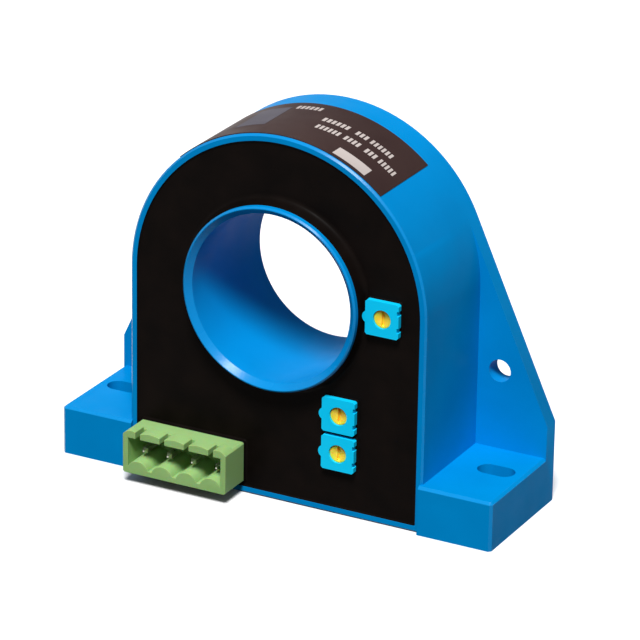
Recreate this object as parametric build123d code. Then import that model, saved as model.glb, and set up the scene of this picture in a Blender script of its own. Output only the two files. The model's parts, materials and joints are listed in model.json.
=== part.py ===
"""Ring-type current sensor for a cable or busbar.

A moulded arch-shaped housing, open at the front, holds a gapped magnetic core, the sensing
element in its gap and a circuit board, all cast in black resin. A four-way plug header and
three adjusting trimmers stand through the resin. Millimetres, +Z up, front towards -Y. The
origin is on the underside, at the middle of the body's width and depth.
"""
from build123d import *
import os
from math import acos, atan2, cos, hypot, radians, sin

MATCH = 0.01

# Housing
BODY_RADIUS = 30.0
BORE_HEIGHT = 40.0
BODY_DEPTH = 25.2
SIDE_WALL = 1.25
BACK_WALL = 2.0
BORE_RADIUS = 16.0
TUBE_WALL = 1.5
COLLAR_PROUD = 3.1
COLLAR_EDGE = 0.3
FRONT_MOUTH = 1.05
BACK_MOUTH = 1.9
RIM_EDGE = 0.35

# Feet and webs
FOOT_REACH = 14.2
FOOT_HEIGHT = 9.5
FOOT_PROUD = 0.85
FOOT_LAP = 0.5
FOOT_EDGE = 0.5
SLOT_WIDTH = 4.2
SLOT_LENGTH = 7.2
SLOT_REACH = 8.6
WEB_THICKNESS = 3.5
WEB_EDGE_HEIGHT = 15.7
WEB_HOLE_RADIUS = 2.15
WEB_HOLE_REACH = 4.4
WEB_HOLE_HEIGHT = 24.7

# Ribs inside the housing
CORE_REST_HEIGHT = 1.2
CORE_REST_WIDTH = 2.0
CORE_REST_ANGLES = (45, 135, 225, 315)
BOARD_REST_WIDTH = 3.0
BOARD_REST_ANGLE = 55.0
BOARD_REST_SPAN = 7.0

# Resin and board
RESIN_RECESS = 0.35
BOARD_SINK = 4.0
BOARD_THICKNESS = 1.6
BOARD_CLEARANCE = 0.6

# Magnetic core and the element in its gap
CORE_BOARD_GAP = 2.8
CORE_TUBE_CLEARANCE = 1.5
CORE_WALL_CLEARANCE = 2.25
CORE_GAP = 3.5
HALL_THICKNESS = 1.5
HALL_WIDTH = 4.1
HALL_HEIGHT = 3.0
HALL_BEVEL = 0.4
HALL_LEADS = 3
HALL_LEAD_PITCH = 1.27
HALL_LEAD_WIDTH = 0.4
LEAD_STUB = 1.0

# Plug header
HEADER_WAYS = 4
HEADER_PITCH = 5.08
HEADER_END = 3.1
HEADER_WIDTH = 7.9
HEADER_HEIGHT = 11.2
HEADER_SIDE_GAP = 1.23
HEADER_FLOOR_GAP = 1.0
HEADER_FLOOR = 3.0
HEADER_END_WALL = 1.05
HEADER_LOW_WALL = 1.1
HEADER_TOP_WALL = 0.9
HEADER_CORNER = 0.3
KEY_SLOT_WIDTH = 1.0
KEY_SLOT_REACH = 3.2
KEY_PAD_RISE = 0.6
KEY_RIB_RADIUS = 2.3
KEY_RIB_HEIGHT = 1.5
PIN_SIZE = 1.0
PIN_SINK = 2.2
PIN_DROP = 0.1
PIN_TAIL = 3.8
PIN_POINT = 0.35
PIN_POINT_LENGTH = 0.7

# Trimmers
TRIMMER_SIZE = 6.6
TRIMMER_HEIGHT = 5.0
TRIMMER_CORNER = 0.35
TRIMMER_BUMP_RADIUS = 1.2
TRIMMER_BUMP_PROUD = 0.6
TRIMMER_NOTCH_WIDTH = 0.9
TRIMMER_NOTCH_DEPTH = 0.35
TRIMMER_NOTCH_OFFSET = 1.6
TRIMMER_STANDOFF = 0.3
TRIMMER_SKIN = 0.6
TRIMMER_ROOF = 0.8
TRIMMER_TUBE_GAP = 0.3
TRIMMER_PAIR_X = 13.4
TRIMMER_PAIR_DROP = 2.85
TRIMMER_PAIR_PITCH = 7.35
SEAL_THICKNESS = 0.9
ELEMENT_THICKNESS = 0.6
ROTOR_RADIUS = 1.7
ROTOR_CLEARANCE = 0.05
ROTOR_SINK = 0.35
ROTOR_DISH = 0.45
ROTOR_RIM = 0.3
ROTOR_SLOT_WIDTH = 0.6
ROTOR_SLOT_DEPTH = 0.55
FLANGE_LIP = 0.7
FLANGE_THICKNESS = 0.7
FLANGE_CLEARANCE = 0.08
CHAMBER_CLEARANCE = 0.3
WIPER_THICKNESS = 0.2
WIPER_WIDTH = 0.8
WIPER_TRACK = 1.5
WIPER_CLEARANCE = 0.05
TRIMMER_PIN_SIZE = 0.5
TRIMMER_PIN_REACH = 1.9
TRIMMER_PIN_TAIL = 3.0

# Parts on the board
CHIP_LENGTH = 4.9
CHIP_WIDTH = 3.9
CHIP_HEIGHT = 1.5
CHIP_LIFT = 0.15
CHIP_LEAD_PAIRS = 4
CHIP_LEAD_PITCH = 1.27
CHIP_LEAD_WIDTH = 0.42
CHIP_LEAD_THICKNESS = 0.2
CHIP_LEAD_REACH = 1.05
CHIP_TOP_GAP = 3.4
REGULATOR_GAP = 1.2
REGULATOR_LENGTH = 4.5
REGULATOR_WIDTH = 2.5
REGULATOR_HEIGHT = 1.5
TAB_WIDTH = 1.6
TAB_REACH = 4.2
TAB_THICKNESS = 0.4
DIODE_LENGTH = 4.3
DIODE_WIDTH = 2.6
DIODE_HEIGHT = 2.1
RESISTOR_HEIGHT = 0.5
RESISTOR_COUNT = 8
CERAMIC_HEIGHT = 0.9
CERAMIC_COUNT = 4
CHIP_PART_LENGTH = 2.0
CHIP_PART_WIDTH = 1.25
CHIP_PART_PITCH = 3.0
CAPACITOR_LENGTH = 7.3
CAPACITOR_WIDTH = 4.3
CAPACITOR_HEIGHT = 2.8
CAPACITOR_PITCH = 6.2
CAPACITOR_WALL_GAP = 1.0
CAPACITOR_POST_GAP = 0.5
TERMINAL_WIDTH = 2.4
TERMINAL_HEIGHT = 1.4
TERMINAL_THICKNESS = 0.2

# Rating label
LABEL_HALF_ANGLE = 42.0
LABEL_WIDTH = 18.5
LABEL_INSET = 0.6
LABEL_THICKNESS = 0.15

# Worked out from the sizes above
FRONT_Y = -BODY_DEPTH / 2
BACK_Y = BODY_DEPTH / 2
CAVITY_RADIUS = BODY_RADIUS - SIDE_WALL
CAVITY_BACK_Y = BACK_Y - BACK_WALL
TUBE_RADIUS = BORE_RADIUS + TUBE_WALL
HALF_WIDTH = BODY_RADIUS + FOOT_REACH
RESIN_Y = FRONT_Y + RESIN_RECESS
BOARD_FRONT_Y = FRONT_Y + BOARD_SINK
BOARD_BACK_Y = BOARD_FRONT_Y + BOARD_THICKNESS
CORE_BACK_Y = CAVITY_BACK_Y - CORE_REST_HEIGHT
CORE_FRONT_Y = BOARD_BACK_Y + CORE_BOARD_GAP
CORE_INNER = TUBE_RADIUS + CORE_TUBE_CLEARANCE
CORE_OUTER = CAVITY_RADIUS - CORE_WALL_CLEARANCE
CORE_MEAN = (CORE_INNER + CORE_OUTER) / 2
HEADER_LENGTH = (HEADER_WAYS - 1) * HEADER_PITCH + 2 * HEADER_END
HEADER_X = -CAVITY_RADIUS + HEADER_SIDE_GAP + HEADER_LENGTH / 2
HEADER_LOW_Z = SIDE_WALL + HEADER_FLOOR_GAP
HEADER_TOP_Z = HEADER_LOW_Z + HEADER_WIDTH
HEADER_FRONT_Y = BOARD_FRONT_Y - HEADER_HEIGHT
HEADER_FLOOR_Y = BOARD_FRONT_Y - HEADER_FLOOR
PIN_Z = HEADER_LOW_Z + HEADER_WIDTH / 2 - PIN_DROP
TRIMMER_SINGLE_X = TUBE_RADIUS + TRIMMER_TUBE_GAP + TRIMMER_BUMP_PROUD + TRIMMER_SIZE / 2
TRIMMER_PAIR_TOP = BORE_HEIGHT - TUBE_RADIUS - TRIMMER_PAIR_DROP
TRIMMER_PLACES = [
    (TRIMMER_SINGLE_X, BORE_HEIGHT),
    (TRIMMER_PAIR_X, TRIMMER_PAIR_TOP),
    (TRIMMER_PAIR_X, TRIMMER_PAIR_TOP - TRIMMER_PAIR_PITCH),
]
CAPACITOR_X = CAVITY_RADIUS - CAPACITOR_WALL_GAP - CAPACITOR_LENGTH / 2
CAPACITOR_LOW_Z = SIDE_WALL + BOARD_REST_WIDTH + CAPACITOR_POST_GAP + CAPACITOR_WIDTH / 2


def same(a, b):
    """True where two lengths agree."""
    return abs(a - b) < MATCH


def front_slab(sketch, back_y, front_y):
    """A sketch drawn in x and z, made solid from one depth forwards to another."""
    plane = Plane(origin=(0, back_y, 0), x_dir=(1, 0, 0), z_dir=(0, -1, 0))
    return extrude(plane * sketch, amount=back_y - front_y)


def block(size, centre):
    """A rectangular block from its size and the place of its centre."""
    return Pos(*centre) * Box(*size)


def arch(inset=0.0):
    """The body's outline, a half round on straight sides, drawn in by an inset all round."""
    radius = BODY_RADIUS - inset
    sides = Polyline((-radius, BORE_HEIGHT), (-radius, inset), (radius, inset), (radius, BORE_HEIGHT))
    crown = CenterArc((0, BORE_HEIGHT), radius, 0, 180)
    return make_face([*sides.edges(), *crown.edges()])


def bore_ring(radius):
    """A round outline on the bore's axis."""
    return Pos(0, BORE_HEIGHT) * Circle(radius)


def web_outline():
    """One rear web: up the foot's end, then along the straight line that touches the arch."""
    reach = hypot(HALF_WIDTH, BORE_HEIGHT - WEB_EDGE_HEIGHT)
    turn = atan2(WEB_EDGE_HEIGHT - BORE_HEIGHT, HALF_WIDTH) + acos(BODY_RADIUS / reach)
    touch = (BODY_RADIUS * cos(turn), BORE_HEIGHT + BODY_RADIUS * sin(turn))
    corners = [(0, 0), (HALF_WIDTH, 0), (HALF_WIDTH, WEB_EDGE_HEIGHT), touch, (0, BORE_HEIGHT)]
    return make_face(Polyline(*corners, close=True))


def foot():
    """The right foot: a thick block with a slot, its outer edges broken."""
    inner = BODY_RADIUS - FOOT_LAP
    front = FRONT_Y - FOOT_PROUD
    size = (HALF_WIDTH - inner, BACK_Y - front, FOOT_HEIGHT)
    centre = ((HALF_WIDTH + inner) / 2, (BACK_Y + front) / 2, FOOT_HEIGHT / 2)
    shape = block(size, centre)
    outer = shape.edges().filter_by(lambda e: same(e.center().X, HALF_WIDTH))
    outer = outer.filter_by(lambda e: e.center().Y < BACK_Y - MATCH and e.center().Z > MATCH)
    crest = shape.edges().filter_by(lambda e: same(e.center().Y, front) and same(e.center().Z, FOOT_HEIGHT))
    shape = chamfer(outer + crest, FOOT_EDGE)
    slot = Pos(BODY_RADIUS + SLOT_REACH, 0, 0) * SlotOverall(SLOT_LENGTH, SLOT_WIDTH)
    return shape - extrude(slot, amount=FOOT_HEIGHT)


def ring_edges(body, radius, y):
    """The body's round edges of one radius at one depth."""
    rounds = body.edges().filter_by(GeomType.CIRCLE)
    return rounds.filter_by(lambda e: same(e.radius, radius) and same(e.center().Y, y))


def core_rests():
    """Four low ribs on the back wall that hold the core off it."""
    start = TUBE_RADIUS - TUBE_WALL / 2
    length = CORE_OUTER - start
    rests = []
    for angle in CORE_REST_ANGLES:
        strip = Pos(start + length / 2, 0) * Rectangle(length, CORE_REST_WIDTH)
        turned = Pos(0, BORE_HEIGHT) * Rot(0, 0, angle) * strip
        rests.append(front_slab(turned, CAVITY_BACK_Y, CORE_BACK_Y))
    return rests


def board_rests():
    """Posts in the lower corners and ledges under the crown that carry the board."""
    rests = []
    for side in (-1, 1):
        x = side * (CAVITY_RADIUS - BOARD_REST_WIDTH / 2)
        post = Pos(x, SIDE_WALL + BOARD_REST_WIDTH / 2) * Rectangle(BOARD_REST_WIDTH, BOARD_REST_WIDTH)
        rests.append(front_slab(post, CAVITY_BACK_Y, BOARD_BACK_Y))
        middle = 90 - side * BOARD_REST_ANGLE
        ledge = bore_ring(CAVITY_RADIUS) - bore_ring(CORE_OUTER)
        ledge &= sector(CAVITY_RADIUS, middle, BOARD_REST_SPAN)
        rests.append(front_slab(ledge, CAVITY_BACK_Y, BOARD_BACK_Y))
    return rests


def sector(radius, middle, half_span):
    """A wedge from the bore's axis, wide enough to cut a ring of the given radius."""
    reach = 2 * radius
    low = radians(middle - half_span)
    high = radians(middle + half_span)
    points = [(0, 0), (reach * cos(low), reach * sin(low)), (reach * cos(high), reach * sin(high))]
    return Pos(0, BORE_HEIGHT) * make_face(Polyline(*points, close=True))


def housing():
    """The moulded body: arch shell, bore tube with its proud collar, feet, webs and ribs."""
    shell = front_slab(arch(), BACK_Y, FRONT_Y)
    rim = shell.edges().filter_by(lambda e: same(e.center().Y, FRONT_Y))
    shell = chamfer(rim, RIM_EDGE)
    cavity = front_slab(arch(SIDE_WALL), CAVITY_BACK_Y, FRONT_Y)
    right_foot = foot()
    web = front_slab(web_outline(), BACK_Y, BACK_Y - WEB_THICKNESS)
    hole = Pos(BODY_RADIUS + WEB_HOLE_REACH, WEB_HOLE_HEIGHT) * Circle(WEB_HOLE_RADIUS)
    web -= front_slab(hole, BACK_Y, BACK_Y - WEB_THICKNESS)
    body = shell + right_foot + mirror(right_foot, about=Plane.YZ) + web + mirror(web, about=Plane.YZ)
    body -= cavity
    collar_y = FRONT_Y - COLLAR_PROUD
    body += front_slab(bore_ring(TUBE_RADIUS), BACK_Y, collar_y)
    body -= front_slab(bore_ring(BORE_RADIUS), BACK_Y, collar_y)
    for rest in core_rests() + board_rests():
        body += rest
    body = chamfer(ring_edges(body, BORE_RADIUS, collar_y), FRONT_MOUTH)
    body = chamfer(ring_edges(body, BORE_RADIUS, BACK_Y), BACK_MOUTH)
    return chamfer(ring_edges(body, TUBE_RADIUS, collar_y), COLLAR_EDGE)


def magnetic_core():
    """A ring of silicon steel with one air gap at its lowest point."""
    ring = bore_ring(CORE_OUTER) - bore_ring(CORE_INNER)
    gap = Pos(0, BORE_HEIGHT - CORE_MEAN) * Rectangle(CORE_GAP, 2 * (CORE_OUTER - CORE_INNER))
    return front_slab(ring - gap, CORE_BACK_Y, CORE_FRONT_Y)


def hall_element():
    """The flat sensing package, upright in the middle of the core's gap."""
    size = (HALL_THICKNESS, HALL_HEIGHT, HALL_WIDTH)
    package = block(size, (0, (CORE_FRONT_Y + CORE_BACK_Y) / 2, BORE_HEIGHT - CORE_MEAN))
    tops = package.edges().filter_by(Axis.Y).filter_by(lambda e: e.center().X > 0)
    return chamfer(tops, HALL_BEVEL)


def hall_leads():
    """Straight flat leads from the sensing package through the board."""
    start = (CORE_FRONT_Y + CORE_BACK_Y) / 2 - HALL_HEIGHT / 2
    end = BOARD_FRONT_Y - LEAD_STUB
    leads = []
    for number in range(HALL_LEADS):
        z = BORE_HEIGHT - CORE_MEAN + (number - (HALL_LEADS - 1) / 2) * HALL_LEAD_PITCH
        size = (HALL_LEAD_WIDTH, start - end, HALL_LEAD_WIDTH)
        leads.append(block(size, (0, (start + end) / 2, z)))
    return leads


def cut_corners(length, width, corner):
    """A rectangle with its four corners cut off."""
    return chamfer(Rectangle(length, width).vertices(), corner)


def header_envelope():
    """The header's outer block, which it also takes out of the resin."""
    outline = cut_corners(HEADER_LENGTH, HEADER_WIDTH, HEADER_CORNER)
    middle_z = HEADER_LOW_Z + HEADER_WIDTH / 2
    return front_slab(Pos(HEADER_X, middle_z) * outline, BOARD_FRONT_Y, HEADER_FRONT_Y)


def key_pads():
    """Low crowned pads along the top of the header's mouth, one between each two key slots."""
    reach = HEADER_LENGTH / 2 - HEADER_CORNER
    ends = [HEADER_X - reach, *pin_places(), HEADER_X + reach]
    base_z = HEADER_TOP_Z - HEADER_CORNER
    pads = []
    for left, right in zip(ends, ends[1:]):
        crest = ((left + right) / 2, HEADER_TOP_Z + KEY_PAD_RISE)
        crown = ThreePointArc((left, HEADER_TOP_Z), crest, (right, HEADER_TOP_Z))
        base = Polyline((right, HEADER_TOP_Z), (right, base_z), (left, base_z), (left, HEADER_TOP_Z))
        outline = make_face([*crown.edges(), *base.edges()])
        pads.append(front_slab(outline, HEADER_FRONT_Y + KEY_SLOT_REACH, HEADER_FRONT_Y))
    return pads


def header_shell():
    """The header's moulding: a box open to the front, key slots and pads over the pins, ribs below."""
    inner_low = HEADER_LOW_Z + HEADER_LOW_WALL
    inner_top = HEADER_TOP_Z - HEADER_TOP_WALL
    inner_length = HEADER_LENGTH - 2 * HEADER_END_WALL
    well = Pos(HEADER_X, (inner_low + inner_top) / 2) * Rectangle(inner_length, inner_top - inner_low)
    slots = []
    for x in pin_places():
        well -= Pos(x, inner_low + KEY_RIB_HEIGHT - KEY_RIB_RADIUS) * Circle(KEY_RIB_RADIUS)
        slot = Pos(x, HEADER_TOP_Z) * Rectangle(KEY_SLOT_WIDTH, 2 * HEADER_TOP_WALL)
        slots.append(front_slab(slot, HEADER_FRONT_Y + KEY_SLOT_REACH, HEADER_FRONT_Y))
    shell = header_envelope()
    for pad in key_pads():
        shell += pad
    shell -= front_slab(well, HEADER_FLOOR_Y, HEADER_FRONT_Y)
    for slot in slots:
        shell -= slot
    for pin in header_pins():
        shell -= pin
    return shell


def pin_places():
    """The pins' places along x, one pitch apart."""
    first = HEADER_X - (HEADER_WAYS - 1) * HEADER_PITCH / 2
    return [first + number * HEADER_PITCH for number in range(HEADER_WAYS)]


def header_pins():
    """Square pins, pointed at both ends, through the header's floor and the board."""
    tip_y = HEADER_FRONT_Y + PIN_SINK
    tail_y = BOARD_FRONT_Y + PIN_TAIL
    half = PIN_SIZE / 2
    point = half - PIN_POINT
    profile = [
        (-half, tail_y - PIN_POINT_LENGTH), (-point, tail_y), (point, tail_y),
        (half, tail_y - PIN_POINT_LENGTH), (half, tip_y + PIN_POINT_LENGTH),
        (point, tip_y), (-point, tip_y), (-half, tip_y + PIN_POINT_LENGTH),
    ]
    face = make_face(Polyline(*profile, close=True))
    flat = extrude(face, amount=half, both=True)
    upright = Rot(0, 90, 0) * flat
    pin = flat & upright
    return [Pos(x, 0, PIN_Z) * pin for x in pin_places()]


def trimmer_plane(place):
    """The plane of the board's face at a trimmer, looking out of the front."""
    x, z = place
    return Plane(origin=(x, BOARD_FRONT_Y, z), x_dir=(1, 0, 0), z_dir=(0, -1, 0))


def lift(sketch, low, high):
    """A trimmer's flat sketch, made solid between two heights over the board."""
    return extrude(Pos(0, 0, low) * sketch, amount=high - low)


def trimmer_outline():
    """The trimmer's square, with a round lug at its left and two notches at its right."""
    half = TRIMMER_SIZE / 2
    shape = cut_corners(TRIMMER_SIZE, TRIMMER_SIZE, TRIMMER_CORNER)
    shape += Pos(TRIMMER_BUMP_RADIUS - half - TRIMMER_BUMP_PROUD, 0) * Circle(TRIMMER_BUMP_RADIUS)
    for side in (-1, 1):
        notch = Rectangle(2 * TRIMMER_NOTCH_DEPTH, TRIMMER_NOTCH_WIDTH)
        shape -= Pos(half, side * TRIMMER_NOTCH_OFFSET) * notch
    return shape


ROOF_LOW = TRIMMER_HEIGHT - TRIMMER_ROOF
ELEMENT_LOW = TRIMMER_STANDOFF + SEAL_THICKNESS
ELEMENT_TOP = ELEMENT_LOW + ELEMENT_THICKNESS
FLANGE_TOP = ROOF_LOW - FLANGE_CLEARANCE
FLANGE_LOW = FLANGE_TOP - FLANGE_THICKNESS
FLANGE_RADIUS = ROTOR_RADIUS + FLANGE_LIP
POCKET_SIZE = TRIMMER_SIZE - 2 * TRIMMER_SKIN


def trimmer_case():
    """The moulded case: a square pocket for the element, a round chamber and the rotor's hole."""
    case = lift(trimmer_outline(), TRIMMER_STANDOFF, TRIMMER_HEIGHT)
    rails = trimmer_outline() - Rectangle(POCKET_SIZE, TRIMMER_SIZE)
    case += lift(rails, 0, TRIMMER_STANDOFF)
    case -= lift(Rectangle(POCKET_SIZE, POCKET_SIZE), TRIMMER_STANDOFF, ELEMENT_TOP)
    case -= lift(Circle(FLANGE_RADIUS + CHAMBER_CLEARANCE), ELEMENT_TOP, ROOF_LOW)
    return case - lift(Circle(ROTOR_RADIUS + ROTOR_CLEARANCE), ROOF_LOW, TRIMMER_HEIGHT)


def trimmer_rotor():
    """The turned rotor: a dished head with a screwdriver slot, over the flange that retains it."""
    top = TRIMMER_HEIGHT - ROTOR_SINK
    rim = ROTOR_RADIUS - ROTOR_RIM
    profile = Polyline(
        (0, FLANGE_LOW), (FLANGE_RADIUS, FLANGE_LOW), (FLANGE_RADIUS, FLANGE_TOP),
        (ROTOR_RADIUS, FLANGE_TOP), (ROTOR_RADIUS, top), (rim, top), (0, top - ROTOR_DISH), close=True,
    )
    rotor = revolve(Plane.XZ * make_face(profile), axis=Axis.Z)
    slot_low = top - ROTOR_DISH / 2 - ROTOR_SLOT_DEPTH
    slot = Rectangle(ROTOR_SLOT_WIDTH, 2 * rim)
    return rotor - lift(slot, slot_low, top)


def trimmer_wiper():
    """The rotor's spring contact: a disc with one arm bent down to the resistive track."""
    disc = lift(Circle(ROTOR_RADIUS), FLANGE_LOW - WIPER_THICKNESS, FLANGE_LOW)
    low = ELEMENT_TOP + WIPER_CLEARANCE
    high = FLANGE_LOW - WIPER_THICKNESS
    heel = WIPER_TRACK - WIPER_THICKNESS
    toe = WIPER_TRACK + WIPER_THICKNESS
    arm = Polyline(
        (-WIPER_TRACK / 2, high), (heel, low), (toe, low),
        (toe, low + WIPER_THICKNESS), (heel, low + WIPER_THICKNESS), (0, high), close=True,
    )
    strip = extrude(Plane.XZ * make_face(arm), amount=WIPER_WIDTH / 2, both=True)
    return disc + strip


def trimmer_pins():
    """Three square pins that end level with the resistive track."""
    reach = TRIMMER_PIN_REACH
    section = Rectangle(TRIMMER_PIN_SIZE, TRIMMER_PIN_SIZE)
    places = [(-reach, -reach), (reach, -reach), (0, reach)]
    return [lift(Pos(*place) * section, -TRIMMER_PIN_TAIL, ELEMENT_TOP) for place in places]


def trimmer_plate(low, high):
    """A square plate in the trimmer's pocket, holed for the pins."""
    plate = lift(Rectangle(POCKET_SIZE, POCKET_SIZE), low, high)
    for pin in trimmer_pins():
        plate -= pin
    return plate


def trimmer_envelope():
    """The block that a trimmer's case takes out of the resin."""
    return lift(trimmer_outline(), 0, TRIMMER_HEIGHT)


def on_board(size, x, z, lift_off=0.0):
    """A block standing on the board's front, given by its width, height and thickness."""
    width, height, thickness = size
    return block((width, thickness, height), (x, BOARD_FRONT_Y - lift_off - thickness / 2, z))


CHIP_X = HEADER_X
CHIP_Z = HEADER_TOP_Z + CHIP_TOP_GAP + CHIP_WIDTH / 2
COLUMN_X = (TUBE_RADIUS + CAVITY_RADIUS) / 2
REGULATOR_X = CHIP_X - (CHIP_LENGTH + REGULATOR_LENGTH) / 2 - REGULATOR_GAP
REGULATOR_Z = CHIP_Z + REGULATOR_WIDTH


def amplifier():
    """An eight-lead amplifier package."""
    return on_board((CHIP_LENGTH, CHIP_WIDTH, CHIP_HEIGHT), CHIP_X, CHIP_Z, CHIP_LIFT)


def amplifier_leads():
    """The package's bent leads, along both of its long sides."""
    middle = CHIP_LIFT + CHIP_HEIGHT / 2
    knee = CHIP_LEAD_REACH / 2
    thick = CHIP_LEAD_THICKNESS
    profile = make_face(Polyline(
        (0, middle), (knee, middle), (knee, thick), (CHIP_LEAD_REACH, thick), (CHIP_LEAD_REACH, 0),
        (knee - thick, 0), (knee - thick, middle - thick), (0, middle - thick), close=True,
    ))
    leads = []
    for number in range(CHIP_LEAD_PAIRS):
        x = CHIP_X + (number - (CHIP_LEAD_PAIRS - 1) / 2) * CHIP_LEAD_PITCH
        for side in (-1, 1):
            plane = Plane(
                origin=(x, BOARD_FRONT_Y, CHIP_Z + side * CHIP_WIDTH / 2),
                x_dir=(0, 0, side), z_dir=(side, 0, 0),
            )
            leads.append(extrude(plane * profile, amount=CHIP_LEAD_WIDTH / 2, both=True))
    return leads


def voltage_regulator():
    """A small flat power package."""
    size = (REGULATOR_LENGTH, REGULATOR_WIDTH, REGULATOR_HEIGHT)
    return on_board(size, REGULATOR_X, REGULATOR_Z)


def regulator_tab():
    """The regulator's metal tab, along its foot."""
    size = (TAB_WIDTH, TAB_REACH, TAB_THICKNESS)
    return on_board(size, REGULATOR_X, REGULATOR_Z) - voltage_regulator()


def protection_diode():
    """The diode beside the header that guards against a reversed supply."""
    size = (DIODE_LENGTH, DIODE_WIDTH, DIODE_HEIGHT)
    return on_board(size, HEADER_X + HEADER_LENGTH / 2 + DIODE_LENGTH, PIN_Z)


def chip_resistors():
    """Chip resistors in a column between the tube and the left wall."""
    size = (CHIP_PART_LENGTH, CHIP_PART_WIDTH, RESISTOR_HEIGHT)
    parts = []
    for number in range(RESISTOR_COUNT):
        z = BORE_HEIGHT + (number - (RESISTOR_COUNT - 1) / 2) * CHIP_PART_PITCH
        parts.append(on_board(size, -COLUMN_X, z))
    return parts


def chip_capacitors():
    """Ceramic capacitors in a row over the crown of the tube."""
    size = (CHIP_PART_LENGTH, CHIP_PART_WIDTH, CERAMIC_HEIGHT)
    parts = []
    for number in range(CERAMIC_COUNT):
        x = (number - (CERAMIC_COUNT - 1) / 2) * CHIP_PART_PITCH
        parts.append(on_board(size, x, BORE_HEIGHT + COLUMN_X))
    return parts


def capacitor_places():
    """The heights of the two storage capacitors, one over the other by the right wall."""
    return [CAPACITOR_LOW_Z, CAPACITOR_LOW_Z + CAPACITOR_PITCH]


def storage_capacitors():
    """Two moulded tantalum capacitors, flat on the back of the board."""
    size = (CAPACITOR_LENGTH, CAPACITOR_HEIGHT, CAPACITOR_WIDTH)
    y = BOARD_BACK_Y + CAPACITOR_HEIGHT / 2
    return [block(size, (CAPACITOR_X, y, z)) for z in capacitor_places()]


def capacitor_terminals():
    """A strip of metal at each end of each capacitor."""
    size = (TERMINAL_THICKNESS, TERMINAL_HEIGHT, TERMINAL_WIDTH)
    reach = (CAPACITOR_LENGTH + TERMINAL_THICKNESS) / 2
    y = BOARD_BACK_Y + TERMINAL_HEIGHT / 2
    strips = []
    for z in capacitor_places():
        for side in (-1, 1):
            strips.append(block(size, (CAPACITOR_X + side * reach, y, z)))
    return strips


def rating_label():
    """A thin film wrapped over the crown of the arch."""
    ring = bore_ring(BODY_RADIUS + LABEL_THICKNESS) - bore_ring(BODY_RADIUS)
    film = ring & sector(BODY_RADIUS, 90, LABEL_HALF_ANGLE)
    front = FRONT_Y + LABEL_INSET
    return front_slab(film, front + LABEL_WIDTH, front)


def placed_trimmers():
    """Each trimmer's pieces at its place on the board, as node name to shape or shapes."""
    pieces = {}
    for number, place in enumerate(TRIMMER_PLACES, start=1):
        spot = trimmer_plane(place).location
        name = f"trimmer_{number}"
        pieces[f"{name}_case"] = spot * trimmer_case()
        pieces[f"{name}_rotor"] = spot * trimmer_rotor()
        pieces[f"{name}_wiper"] = spot * trimmer_wiper()
        pieces[f"{name}_element"] = spot * trimmer_plate(ELEMENT_LOW, ELEMENT_TOP)
        pieces[f"{name}_seal"] = spot * trimmer_plate(TRIMMER_STANDOFF, ELEMENT_LOW)
        pieces[f"{name}_pins"] = [spot * pin for pin in trimmer_pins()]
    return pieces


def board_blank():
    """The board before its holes, cut to the arch and round the tube."""
    outline = arch(SIDE_WALL + BOARD_CLEARANCE) - bore_ring(TUBE_RADIUS + BOARD_CLEARANCE)
    return front_slab(outline, BOARD_BACK_Y, BOARD_FRONT_Y)


def circuit_board(through_leads):
    """The board, holed for every lead."""
    board = board_blank()
    for lead in through_leads:
        board -= lead
    return board


def potting(embedded):
    """The cast resin: what is left of the cavity round everything in it."""
    outline = arch(SIDE_WALL) - bore_ring(TUBE_RADIUS)
    resin = front_slab(outline, CAVITY_BACK_Y, RESIN_Y)
    for shape in core_rests() + board_rests() + embedded:
        resin -= shape
    return resin


def as_list(shape):
    """A node's solids as a list."""
    return shape if isinstance(shape, list) else [shape]


def all_nodes():
    """Every node of the sensor, as its name to a shape or a list of shapes."""
    nodes = {
        "housing": housing(),
        "magnetic_core": magnetic_core(),
        "hall_element": hall_element(),
        "hall_leads": hall_leads(),
        "header_housing": header_shell(),
        "amplifier_chip": amplifier(),
        "amplifier_leads": amplifier_leads(),
        "voltage_regulator": voltage_regulator(),
        "regulator_tab": regulator_tab(),
        "protection_diode": protection_diode(),
        "chip_resistors": chip_resistors(),
        "chip_capacitors": chip_capacitors(),
        "storage_capacitors": storage_capacitors(),
        "capacitor_terminals": capacitor_terminals(),
        "rating_label": rating_label(),
    }
    for number, pin in enumerate(header_pins(), start=1):
        nodes[f"header_pin_{number}"] = pin
    nodes.update(placed_trimmers())
    through = hall_leads() + header_pins()
    for number in range(1, len(TRIMMER_PLACES) + 1):
        through += nodes[f"trimmer_{number}_pins"]
    nodes["circuit_board"] = circuit_board(through)
    sealed = [
        "magnetic_core", "hall_element", "hall_leads", "amplifier_chip", "amplifier_leads",
        "voltage_regulator", "regulator_tab", "protection_diode", "chip_resistors",
        "chip_capacitors", "storage_capacitors", "capacitor_terminals",
    ]
    embedded = [board_blank(), header_envelope()] + header_pins()
    for name in sealed:
        embedded += as_list(nodes[name])
    for number, place in enumerate(TRIMMER_PLACES, start=1):
        embedded.append(trimmer_plane(place).location * trimmer_envelope())
        embedded += nodes[f"trimmer_{number}_pins"]
    nodes["potting_compound"] = potting(embedded)
    return nodes


def save(nodes):
    """Write one STEP file for each node."""
    os.makedirs("parts", exist_ok=True)
    for name, shape in nodes.items():
        solids = [solid for piece in as_list(shape) for solid in piece.solids()]
        result = solids[0] if len(solids) == 1 else Compound(children=solids)
        result.label = name
        export_step(result, f"parts/{name}.step")


save(all_nodes())
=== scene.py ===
"""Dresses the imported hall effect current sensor.

A finish for every node, the mouldings with their small edge rounds, the resin's meniscus, the
label's print, a plain white studio and the photograph's view. Metres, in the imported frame.
"""
import json

import bmesh
import bpy
import numpy as np
from mathutils import Matrix, Vector


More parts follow.
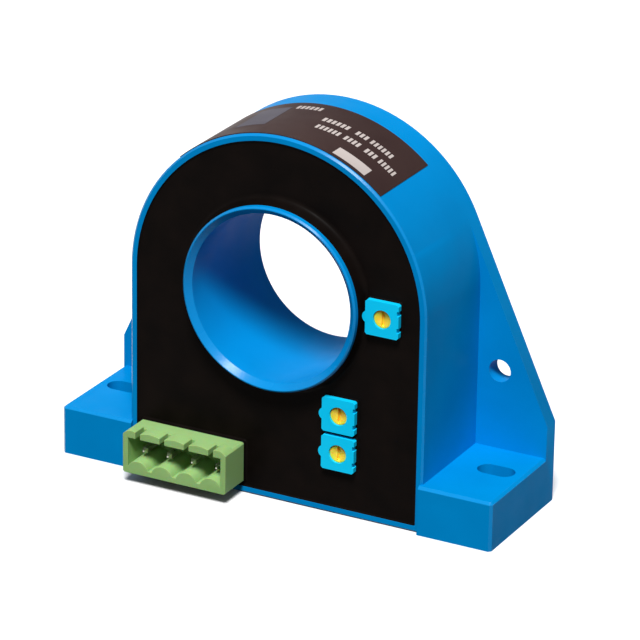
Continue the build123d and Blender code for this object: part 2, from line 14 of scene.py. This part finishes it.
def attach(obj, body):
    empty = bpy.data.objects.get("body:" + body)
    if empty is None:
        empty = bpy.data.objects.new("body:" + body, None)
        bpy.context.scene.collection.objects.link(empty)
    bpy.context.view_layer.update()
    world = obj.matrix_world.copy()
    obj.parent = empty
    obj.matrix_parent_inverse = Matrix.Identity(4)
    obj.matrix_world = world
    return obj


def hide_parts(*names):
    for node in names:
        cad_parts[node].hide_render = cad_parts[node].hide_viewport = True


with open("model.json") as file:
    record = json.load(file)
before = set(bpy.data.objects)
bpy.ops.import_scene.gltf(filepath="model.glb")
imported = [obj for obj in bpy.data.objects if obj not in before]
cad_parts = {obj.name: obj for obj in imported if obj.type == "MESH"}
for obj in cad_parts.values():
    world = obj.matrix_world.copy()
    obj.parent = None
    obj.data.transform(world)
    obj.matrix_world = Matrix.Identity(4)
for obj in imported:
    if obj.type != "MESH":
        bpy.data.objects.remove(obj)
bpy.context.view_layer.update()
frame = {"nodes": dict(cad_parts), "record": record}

MM = 0.001

# Places on the sensor, in millimetres, as the solids have them
BORE_HEIGHT = 40.0
TUBE_RADIUS = 17.5
CAVITY_RADIUS = 28.75
CAVITY_FLOOR = 1.25
RESIN_Y = -12.25
HEADER_CENTRE = (-16.8, 6.2)
HEADER_SIZE = (21.44, 7.9)
TRIMMER_PLACES = ((21.7, 40.0), (13.4, 19.65), (13.4, 12.3))
TRIMMER_SIZE = (6.6, 6.6)
LABEL_RADIUS = 30.15

# Edge rounds of the mouldings, as width in millimetres and steps
HOUSING_ROUND = (0.25, 3)
HEADER_ROUND = (0.16, 3)
TRIMMER_ROUND = (0.12, 2)
ROTOR_ROUND = (0.05, 2)

# In a copied mesh, points within this many millimetres are joined, faces within this angle are
# merged, edges past this angle are rounded, and faces slant whose normal has this much depth
SAME_POINT = 0.002
FLAT = np.radians(0.6)
SHARP = np.radians(30)
SLANT = (0.35, 0.95)

# In a new piece, edges past this angle are sharp
NEW_SHARP = np.radians(40)

# The meniscus along each wall, as its reach from the wall and its climb, in millimetres
SHELL_FILM = (0.5, 0.3)
HEADER_FILM = (0.48, 0.7)
TRIMMER_FILM = (0.36, 0.35)
TUBE_CLIMB = 2.3
TUBE_REACH = 1.6
TUBE_SQUEEZE = 1.35
SQUEEZE_SPREAD = np.radians(12)

# Its profile's points and how they crowd to the wall, and how far in millimetres its root lies
# inside the wall and under the surface
FILM_POINTS = 12
FILM_CROWDING = 1.5
FILM_ROOT = (0.03, 0.06)

# Corners of the walls that it follows, as radii in millimetres, and stations along them
SHELL_CORNER = 0.6
HEADER_CORNER = 0.3
TRIMMER_CORNER = 0.35
ARCH_STATIONS = 120
TUBE_STATIONS = 240
CORNER_STATIONS = 7

# Print on the label: each row of dashes by its degrees off the top, from and to, its depth in
# millimetres, from and to, and its count, and the fields by the same without a count
DASH_ROWS = (
    (-9.0, 0.5, 2.8, 4.4, 6), (5.0, 15.0, -1.2, 0.4, 6), (18.0, 22.5, -1.2, 0.4, 3),
    (24.0, 33.0, -1.2, 0.4, 6), (6.0, 15.0, -4.9, -3.2, 6), (17.0, 23.0, -4.9, -3.2, 4),
    (25.5, 30.0, -4.9, -3.2, 3), (31.5, 38.5, -4.9, -3.2, 5),
)
DASH_GAP = 0.6
PALE_BLOCK = (19.5, 33.0, -11.2, -8.2)
DULL_FIELD = (-23.0, -11.0, -7.0, 3.5)
INK_HEIGHT = 0.03
PRINT_STATIONS = 9

# The photograph's view, solved from the body's outlines, in degrees and millimetres
VIEW_TURN = 27.55
VIEW_RISE = 22.0
VIEW_ROLL = 0.95
VIEW_DISTANCE = 741.62
VIEW_TARGET = (8.94, -12.6, 37.04)
LENS = 234.67
SENSOR_WIDTH = 36.0
NEAR_CLIP = 50.0

# Light, as shares of a white card's full brightness, and the lamps' spread in degrees
KEY_LEVEL = 1.36
KEY_FROM = (0.19, -0.50, 0.845)
BACK_LEVEL = 0.5
BACK_FROM = (-0.45, 0.87, 0.2)
LAMP_SPREAD = 18.0
SKY_LEVEL = 0.2

# The floor in metres, and its tone to soft light and to the eye
FLOOR_SIZE = 8.0
FLOOR_BOUNCE = (0.04, 0.04, 0.04, 1.0)
FLOOR_WHITE = (0.92, 0.92, 0.92, 1.0)

# The part of a pattern's values over which a tone or a sheen goes from end to end
MIDDLE = {"From Min": 0.3, "From Max": 0.7}
# Radians that a wave texture turns in a metre, at scale 1
WAVE_TURN = 20.0


def linear(code):
    """An sRGB hex colour as linear red, green, blue and alpha."""
    share = np.array([int(code[i:i + 2], 16) for i in (0, 2, 4)]) / 255
    low = share / 12.92
    high = ((share + 0.055) / 1.055) ** 2.4
    return (*np.where(share <= 0.04045, low, high).tolist(), 1.0)


def add(tree, kind, inputs=None, **settings):
    """Adds one node: its own settings, then each input as a value or as a link from a socket."""
    made = tree.nodes.new(kind)
    for name, value in settings.items():
        setattr(made, name, value)
    for name, value in (inputs or {}).items():
        if isinstance(value, bpy.types.NodeSocket):
            tree.links.new(value, made.inputs[name])
        else:
            made.inputs[name].default_value = value
    return made


def blank(name):
    """A material with an empty node tree, and that tree."""
    material = bpy.data.materials.new(name)
    material.use_nodes = True
    material.node_tree.nodes.clear()
    return material, material.node_tree


def grain(tree, size, detail=2.0, stretch=(1, 1, 1)):
    """Noise on the object's own coordinates, with lumps about size millimetres across."""
    where = add(tree, "ShaderNodeTexCoord").outputs["Object"]
    turned = add(tree, "ShaderNodeMapping", {"Vector": where, "Scale": stretch}).outputs["Vector"]
    inputs = {"Vector": turned, "Scale": 1 / (size * MM), "Detail": detail}
    return add(tree, "ShaderNodeTexNoise", inputs).outputs["Fac"]


def surface(tree, tone, sheen, reliefs, **others):
    """Leads patterns to the surface shader. Tone is a pattern and two hex colours, and sheen a
    pattern and two roughnesses, each gone through over the middle of the pattern's values. Each
    relief is a pattern and its depth in millimetres, laid over the last. Others are the shader's
    other inputs, with an underscore for each space."""
    clouds, dark, light = tone
    share = add(tree, "ShaderNodeMapRange", {"Value": clouds, **MIDDLE}).outputs["Result"]
    ends = {"Factor": share, 6: linear(dark), 7: linear(light)}
    colour = add(tree, "ShaderNodeMix", ends, data_type="RGBA").outputs[2]
    patches, low, high = sheen
    span = {"Value": patches, **MIDDLE, "To Min": low, "To Max": high}
    rough = add(tree, "ShaderNodeMapRange", span).outputs["Result"]
    under = {}
    for height, depth in reliefs:
        bump = add(tree, "ShaderNodeBump", {"Height": height, "Distance": depth * MM, **under})
        under = {"Normal": bump.outputs["Normal"]}
    inputs = {name.replace("_", " "): value for name, value in others.items()}
    inputs |= {"Base Color": colour, "Roughness": rough, **under}
    shader = add(tree, "ShaderNodeBsdfPrincipled", inputs)
    add(tree, "ShaderNodeOutputMaterial", {"Surface": shader.outputs["BSDF"]})


def moulding(name, dark, light, rough, gloss, texture, depth, glow=0.0, soak=(0.9, 0.27, 0.07)):
    """A moulded or pressed piece: flow clouds in its tone, patches in its sheen, each some
    millimetres across, and the grain of an eroded mould or a fired powder, depth millimetres
    deep. That grain is really 0.05 mm across, too fine to show, so it is drawn texture
    millimetres across. Gloss is the strength of the mirror reflection. Where glow is given, light
    soaks through, red, green and blue each as far as soak says in millimetres, so that it comes
    out redder than it went in."""
    material, tree = blank(name)
    cloud_size, patch_size, sheen_change = 14.0, 5.0, 0.05
    surface(
        tree,
        tone=(grain(tree, cloud_size, detail=3.0), dark, light),
        sheen=(grain(tree, patch_size), rough - sheen_change, rough + sheen_change),
        reliefs=[(grain(tree, texture, detail=1.0), depth)],
        Specular_IOR_Level=gloss,
        Subsurface_Weight=glow,
        Subsurface_Radius=soak,
        Subsurface_Scale=MM,
    )
    return material


def cast_resin(name):
    """Resin cast and left to level: waves 9 mm long and 0.06 mm deep bend the little light that
    it returns, and dust grains break it. A grain is really 0.1 mm and drawn 0.35, to show."""
    material, tree = blank(name)
    cloud_size, patch_size, wave_size, dust_size = 6.0, 3.0, 9.0, 0.35
    surface(
        tree,
        tone=(grain(tree, cloud_size), "0b0807", "120d0b"),
        sheen=(grain(tree, patch_size), 0.34, 0.46),
        reliefs=[(grain(tree, wave_size), 0.06), (grain(tree, dust_size, detail=1.0), 0.004)],
        Specular_IOR_Level=0.02,
    )
    return material


def drawn_metal(name, dark, light, rough):
    """Metal drawn or rolled in the bore's direction: long faint marks change its tone and sheen
    together. They are really 0.02 mm wide and drawn 0.4, to show."""
    material, tree = blank(name)
    mark_width, sheen_change = 0.4, 0.06
    marks = grain(tree, mark_width, stretch=(1, 0.15, 1))
    surface(
        tree,
        tone=(marks, dark, light),
        sheen=(marks, rough - sheen_change, rough + sheen_change),
        reliefs=[(marks, 0.006)],
        Metallic=1.0,
    )
    return material


def wound_steel(name):
    """Strip wound round the bore and cut: the edge of each turn is a bright ring. The turns are
    really 0.3 mm apart and drawn about 1.8, to show."""
    material, tree = blank(name)
    pitch = 1.7765
    where = add(tree, "ShaderNodeTexCoord").outputs["Object"]
    to_bore = {"Vector": where, "Location": (0, 0, -BORE_HEIGHT * MM)}
    centred = add(tree, "ShaderNodeMapping", to_bore).outputs["Vector"]
    wave = {"Vector": centred, "Scale": 2 * np.pi / (WAVE_TURN * pitch * MM)}
    turns = add(tree, "ShaderNodeTexWave", wave, wave_type="RINGS", rings_direction="Y")
    rings = turns.outputs["Fac"]
    surface(
        tree,
        tone=(rings, "75787c", "a3a6aa"),
        sheen=(rings, 0.35, 0.5),
        reliefs=[(rings, 0.02)],
        Metallic=1.0,
    )
    return material


def laminate(name):
    """Woven glass in epoxy under a thin mask: its threads show through as a faint check. They are
    really 0.5 mm apart and drawn about 1, to show."""
    material, tree = blank(name)
    pitch, patch_size = 0.987, 3.0
    where = add(tree, "ShaderNodeTexCoord").outputs["Object"]
    wave = {"Vector": where, "Scale": 2 * np.pi / (WAVE_TURN * pitch * MM)}
    across = add(tree, "ShaderNodeTexWave", wave, bands_direction="X").outputs["Fac"]
    along = add(tree, "ShaderNodeTexWave", wave, bands_direction="Z").outputs["Fac"]
    both = {0: across, 1: along}
    cloth = add(tree, "ShaderNodeMath", both, operation="MULTIPLY").outputs["Value"]
    surface(
        tree,
        tone=(cloth, "275f33", "337440"),
        sheen=(grain(tree, patch_size), 0.3, 0.4),
        reliefs=[(cloth, 0.01)],
    )
    return material


def blue_shell(name, rough, gloss):
    """Glass-filled polyester, moulded: a strong azure, and no light soaks into it."""
    return moulding(name, "007fc2", "0087cc", rough, gloss, 0.45, 0.010)


FINISHES = {
    # The eroded mould leaves it satin, with hardly any mirror, so its blue stays deep
    "blue_housing": blue_shell("polyester_azure", 0.42, 0.015),
    # Cast epoxy: black and level, with a slow, dim sheen
    "black_resin": cast_resin("epoxy_black"),
    # Unfilled polyamide, moulded: a soft light green that glows a little in its thin walls
    "header_green": moulding("polyamide_green", "89af6d", "94ba77", 0.5, 0.1, 0.35, 0.010, 0.5),
    # Filled polyester, moulded fine: a bright cyan, even and satin
    "trimmer_blue": moulding("polyester_cyan", "05c8f9", "12d0fd", 0.4, 0.1, 0.3, 0.006),
    # Unfilled nylon, moulded small: a yellow that light soaks right into, so its shade is orange
    "rotor_yellow": moulding(
        "nylon_yellow", "ffd441", "ffdd4d", 0.45, 0.1, 0.3, 0.006, 1.0, (0.6, 0.1, 0.04),
    ),
    # Brass wire, drawn and tinned: a warm pale grey with a soft mirror
    "tinned_metal": drawn_metal("brass_tinned", "b3b0a6", "d8d5cc", 0.32),
    # Beryllium copper strip, rolled: a reddish gold with a soft mirror
    "spring_metal": drawn_metal("beryllium_copper", "b8893f", "d9ae62", 0.3),
    # Silicon steel strip, wound and cut: rings of a cool grey
    "core_steel": wound_steel("silicon_steel_strip"),
    # Glass-epoxy board under mask: a dark green with a faint check and a satin sheen
    "board_laminate": laminate("glass_epoxy_green"),
    # Filled epoxy, moulded round a chip: a dull soot black
    "package_black": moulding("epoxy_moulding_black", "19191b", "232325", 0.5, 0.3, 0.3, 0.008),
    # Filled epoxy, cast under a trimmer: a cool dark grey
    "seal_resin": moulding("epoxy_seal_grey", "33383e", "40464d", 0.45, 0.3, 0.6, 0.006),
    # Alumina, pressed and fired: chalk white and dull
    "cermet_plate": moulding("alumina_fired", "ddd7c9", "ece7dc", 0.6, 0.35, 0.3, 0.008),
    # Titanate ceramic, pressed and fired: a sandy brown with a low sheen
    "chip_ceramic": moulding("titanate_ceramic", "a5937a", "bca98c", 0.5, 0.35, 0.3, 0.008),
    # Polyester film, printed all over: a warm near-black, smooth, with hardly any mirror
    "label_film": moulding("polyester_film_dark", "332423", "3c2c2a", 0.4, 0.015, 0.6, 0.003),
}
# Screen ink on the film: a pale warm grey, matt
INK = moulding("ink_pale", "b3a8a4", "c4bab6", 0.55, 0.05, 0.3, 0.004)
# Screen ink on the film, thin: a dull cool grey, matt
TINT = moulding("ink_dull", "4d4a52", "57545c", 0.55, 0.02, 0.3, 0.004)
# The housing's polyester where handling has burnished its edges: smoother, so they glint
BURNISHED = blue_shell("polyester_azure_burnished", 0.26, 0.15)


def dress_nodes():
    """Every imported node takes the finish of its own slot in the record."""
    for part in frame["record"]["subparts"]:
        node = frame["nodes"][part["node"]]
        node.data.materials.clear()
        node.data.materials.append(FINISHES[part["material_slot"]])


def rounded_copy(node, name, edge_round, body="sensor", edge_finish=None):
    """Stands for a node: its mesh with equal points joined and flat neighbours merged, and each
    sharp edge cut back by the round's width and bulged. Where an edge finish is given, those
    rounds take it, and so do the chamfers round the mouths, which slant to the front."""
    work = bmesh.new()
    work.from_mesh(frame["nodes"][node].data)
    bmesh.ops.remove_doubles(work, verts=work.verts, dist=SAME_POINT * MM)
    bmesh.ops.dissolve_limit(work, angle_limit=FLAT, verts=work.verts, edges=work.edges)
    mesh = bpy.data.meshes.new(name)
    work.to_mesh(mesh)
    work.free()
    mesh.polygons.foreach_set("use_smooth", np.ones(len(mesh.polygons), bool))
    mesh.set_sharp_from_angle(angle=SHARP)
    copy = bpy.data.objects.new(name, mesh)
    bpy.context.scene.collection.objects.link(copy)
    bevel = copy.modifiers.new("edge", "BEVEL")
    bevel.width = edge_round[0] * MM
    bevel.segments = edge_round[1]
    bevel.limit_method = "ANGLE"
    bevel.angle_limit = SHARP
    bevel.harden_normals = True
    parts = frame["record"]["subparts"]
    slot = next(part["material_slot"] for part in parts if part["node"] == node)
    mesh.materials.clear()
    mesh.materials.append(FINISHES[slot])
    if edge_finish is not None:
        mesh.materials.append(edge_finish)
        bevel.material = 1
        normals = np.empty(len(mesh.polygons) * 3, np.float32)
        mesh.polygons.foreach_get("normal", normals)
        lean = np.abs(normals[1::3])
        slants = (lean > SLANT[0]) & (lean < SLANT[1])
        mesh.polygons.foreach_set("material_index", slants.astype(np.int32))
    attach(copy, body)
    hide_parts(node)


def new_piece(name, points, faces, material):
    """A closed piece on the sensor, its faces turned outwards, from lists of arrays: points in
    millimetres, and faces as rows of point numbers."""
    mesh = bpy.data.meshes.new(name)
    mesh.from_pydata((np.concatenate(points) * MM).tolist(), [], np.concatenate(faces).tolist())
    mesh.materials.append(material)
    mesh.polygons.foreach_set("use_smooth", np.ones(len(mesh.polygons), bool))
    mesh.set_sharp_from_angle(angle=NEW_SHARP)
    work = bmesh.new()
    work.from_mesh(mesh)
    bmesh.ops.recalc_face_normals(work, faces=work.faces)
    work.to_mesh(mesh)
    work.free()
    piece = bpy.data.objects.new(name, mesh)
    bpy.context.scene.collection.objects.link(piece)
    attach(piece, "sensor")


def ring_faces(stations, sides, first):
    """Quads that join each station's closed profile to the next, round a closed path, in point
    numbers that start at first."""
    station, side = np.meshgrid(np.arange(stations), np.arange(sides), indexing="ij")
    next_station = (station + 1) % stations
    next_side = (side + 1) % sides
    quads = (
        station * sides + side,
        station * sides + next_side,
        next_station * sides + next_side,
        next_station * sides + side,
    )
    return np.stack(quads, axis=-1).reshape(-1, 4) + first


def arc(start, end, stations):
    """Outward directions along an arc: the cosine and the sine of each angle."""
    angle = np.linspace(start, end, stations)
    return np.stack((np.cos(angle), np.sin(angle)), axis=1)


def round_rectangle(centre, size, radius):
    """Points and outward directions round a rectangle: each corner is an arc about a point one
    radius in from both its sides, and the sides join the arcs."""
    quarter = np.pi / 2
    out = np.concatenate([arc(n * quarter, (n + 1) * quarter, CORNER_STATIONS) for n in range(4)])
    corner = np.array(((1, 1), (-1, 1), (-1, -1), (1, -1))).repeat(CORNER_STATIONS, axis=0)
    return np.array(centre) + corner * (np.array(size) / 2 - radius) + radius * out, out


def cavity_outline():
    """Points and inward directions round the inside of the shell: a half circle about the bore's
    axis, on two straight sides that end in small arcs at the floor."""
    crown = arc(0, np.pi, ARCH_STATIONS)
    left = arc(np.pi, 1.5 * np.pi, CORNER_STATIONS)
    right = arc(1.5 * np.pi, 2 * np.pi, CORNER_STATIONS)
    across = CAVITY_RADIUS - SHELL_CORNER
    low = CAVITY_FLOOR + SHELL_CORNER
    points = np.concatenate((
        crown * CAVITY_RADIUS + (0, BORE_HEIGHT),
        left * SHELL_CORNER + (-across, low),
        right * SHELL_CORNER + (across, low),
    ))
    return points, -np.concatenate((crown, left, right))


def meniscus(points, away, reach, climb, first):
    """The resin's fillet along a wall: at each distance from the wall, its height is climb times
    the cube of one minus distance over reach. This profile is carried along the wall, and closed
    by a root just inside the wall and under the surface."""
    share = np.linspace(0, 1, FILM_POINTS) ** FILM_CROWDING
    reach = np.broadcast_to(reach, len(points))[:, None]
    across = np.concatenate((share * reach, reach, np.full_like(reach, -FILM_ROOT[0])), axis=1)
    height = np.concatenate((climb * (1 - share) ** 3, (-FILM_ROOT[1], -FILM_ROOT[1])))
    flat = points[:, None, :] + away[:, None, :] * across[..., None]
    depth = np.broadcast_to(RESIN_Y - height, flat.shape[:2])
    spots = np.stack((flat[..., 0], depth, flat[..., 1]), axis=-1).reshape(-1, 3)
    return spots, ring_faces(len(points), len(height), first)


def resin_edge():
    """The meniscus along the shell, the tube, the header and each trimmer, as one piece. Its reach
    from the tube is the full one less the squeeze times a bell, e to the power of minus the fourth
    power of angle over spread, so it is least beside the first trimmer."""
    full = np.linspace(-np.pi, np.pi, TUBE_STATIONS, endpoint=False)
    tube_out = np.stack((np.cos(full), np.sin(full)), axis=1)
    tube_points = tube_out * TUBE_RADIUS + (0, BORE_HEIGHT)
    tube_reach = TUBE_REACH - TUBE_SQUEEZE * np.exp(-(full / SQUEEZE_SPREAD) ** 4)
    walls = [
        (*cavity_outline(), *SHELL_FILM),
        (tube_points, tube_out, tube_reach, TUBE_CLIMB),
        (*round_rectangle(HEADER_CENTRE, HEADER_SIZE, HEADER_CORNER), *HEADER_FILM),
    ]
    for place in TRIMMER_PLACES:
        walls.append((*round_rectangle(place, TRIMMER_SIZE, TRIMMER_CORNER), *TRIMMER_FILM))
    points = []
    faces = []
    count = 0
    for wall in walls:
        spots, quads = meniscus(*wall, count)
        points.append(spots)
        faces.append(quads)
        count += len(spots)
    new_piece("resin_meniscus", points, faces, FINISHES["black_resin"])


def printed(name, fields, material):
    """Print on the crown: each field is a thin strip bent to it and sunk by half. Its section, a
    rectangle in depth and radius, is carried from one angle off the top to another, and its ends
    are closed."""
    cap = np.array(((0, 1, 2, 3),))
    radius = LABEL_RADIUS + INK_HEIGHT * np.array((-1, 1, 1, -1))
    points = []
    faces = []
    for number, (start, end, front, back) in enumerate(fields):
        angle = np.radians(np.linspace(start, end, PRINT_STATIONS))
        depth = np.broadcast_to(np.array((front, front, back, back)), (PRINT_STATIONS, 4))
        x = np.sin(angle)[:, None] * radius
        z = BORE_HEIGHT + np.cos(angle)[:, None] * radius
        points.append(np.stack((x, depth, z), axis=-1).reshape(-1, 3))
        first = number * PRINT_STATIONS * 4
        last = first + (PRINT_STATIONS - 1) * 4
        faces.append(ring_faces(PRINT_STATIONS, 4, first)[:(PRINT_STATIONS - 1) * 4])
        faces.append(cap + first)
        faces.append(cap + last)
    new_piece(name, points, faces, material)


def label_print():
    """Generic print on the label, plain fields and dashes: one pale block, one dull field and rows
    of dashes, each row's evenly from its first angle to its last."""
    dashes = []
    for start, end, front, back, count in DASH_ROWS:
        step = (end - start + DASH_GAP) / count
        for number in range(count):
            left = start + number * step
            dashes.append((left, left + step - DASH_GAP, front, back))
    printed("label_marks", [PALE_BLOCK] + dashes, INK)
    printed("label_field", [DULL_FIELD], TINT)


def seen_directly(tree):
    """One where the camera, a gloss or a clear material looks, and nought for soft light."""
    path = add(tree, "ShaderNodeLightPath").outputs
    seen = {0: path["Is Camera Ray"], 1: path["Is Glossy Ray"]}
    either = add(tree, "ShaderNodeMath", seen, operation="MAXIMUM").outputs["Value"]
    clear = {0: either, 1: path["Is Transmission Ray"]}
    return add(tree, "ShaderNodeMath", clear, operation="MAXIMUM").outputs["Value"]


def studio():
    """A white floor that keeps the shadow, an even sky, one wide lamp from the front and above,
    and a weaker one from behind that keeps the hidden sides readable and isn't mirrored. A sun of
    strength pi lights a white card that faces it to full brightness."""
    bpy.ops.mesh.primitive_plane_add(size=FLOOR_SIZE)
    floor = bpy.context.object
    floor.name = "studio_floor"
    material, tree = blank("floor_white")
    tones = {"Factor": seen_directly(tree), 6: FLOOR_BOUNCE, 7: FLOOR_WHITE}
    tone = add(tree, "ShaderNodeMix", tones, data_type="RGBA").outputs[2]
    card = {"Base Color": tone, "Roughness": 0.9, "Specular IOR Level": 0.0}
    shader = add(tree, "ShaderNodeBsdfPrincipled", card)
    add(tree, "ShaderNodeOutputMaterial", {"Surface": shader.outputs["BSDF"]})
    floor.data.materials.append(material)

    world = bpy.data.worlds.new("studio_sky")
    bpy.context.scene.world = world
    world.use_nodes = True
    sky = world.node_tree
    sky.nodes.clear()
    levels = {"Value": seen_directly(sky), "To Min": SKY_LEVEL, "To Max": 1.0}
    level = add(sky, "ShaderNodeMapRange", levels).outputs["Result"]
    glow = add(sky, "ShaderNodeBackground", {"Color": (1, 1, 1, 1), "Strength": level})
    add(sky, "ShaderNodeOutputWorld", {"Surface": glow.outputs["Background"]})

    lamps = (("key", KEY_LEVEL, KEY_FROM), ("back_fill", BACK_LEVEL, BACK_FROM))
    for name, level, toward in lamps:
        lamp = bpy.data.lights.new(name, "SUN")
        lamp.energy = level * np.pi
        lamp.angle = np.radians(LAMP_SPREAD)
        holder = bpy.data.objects.new(name, lamp)
        holder.rotation_mode = "QUATERNION"
        holder.rotation_quaternion = Vector(toward).to_track_quat("Z", "Y")
        holder.visible_glossy = name == "key"
        bpy.context.scene.collection.objects.link(holder)


def photo_camera():
    """The photograph's view: a long lens aimed at the target, turned, raised and rolled."""
    turn, rise, roll = np.radians((VIEW_TURN, VIEW_RISE, VIEW_ROLL))
    back = np.array((np.sin(turn) * np.cos(rise), -np.cos(turn) * np.cos(rise), np.sin(rise)))
    right = np.array((np.cos(turn), np.sin(turn), 0.0))
    up = np.cross(back, right)
    across = right * np.cos(roll) + up * np.sin(roll)
    upright = up * np.cos(roll) - right * np.sin(roll)
    place = (np.array(VIEW_TARGET) + back * VIEW_DISTANCE) * MM
    data = bpy.data.cameras.new("photo_view")
    data.lens = LENS
    data.sensor_width = SENSOR_WIDTH
    data.clip_start = NEAR_CLIP * MM
    camera = bpy.data.objects.new("photo_view", data)
    rows = np.column_stack((across, upright, back, place)).tolist()
    camera.matrix_world = Matrix(rows + [[0, 0, 0, 1]])
    bpy.context.scene.collection.objects.link(camera)
    bpy.context.scene.camera = camera


dress_nodes()
rounded_copy("housing", "housing_moulding", HOUSING_ROUND, edge_finish=BURNISHED)
rounded_copy("header_housing", "header_moulding", HEADER_ROUND)
for number in range(1, 4):
    rounded_copy(f"trimmer_{number}_case", f"trimmer_{number}_casing", TRIMMER_ROUND)
    rounded_copy(
        f"trimmer_{number}_rotor", f"trimmer_{number}_dial", ROTOR_ROUND, f"rotor_{number}",
    )
resin_edge()
label_print()
studio()
photo_camera()
bpy.context.scene.view_settings.view_transform = "Standard"
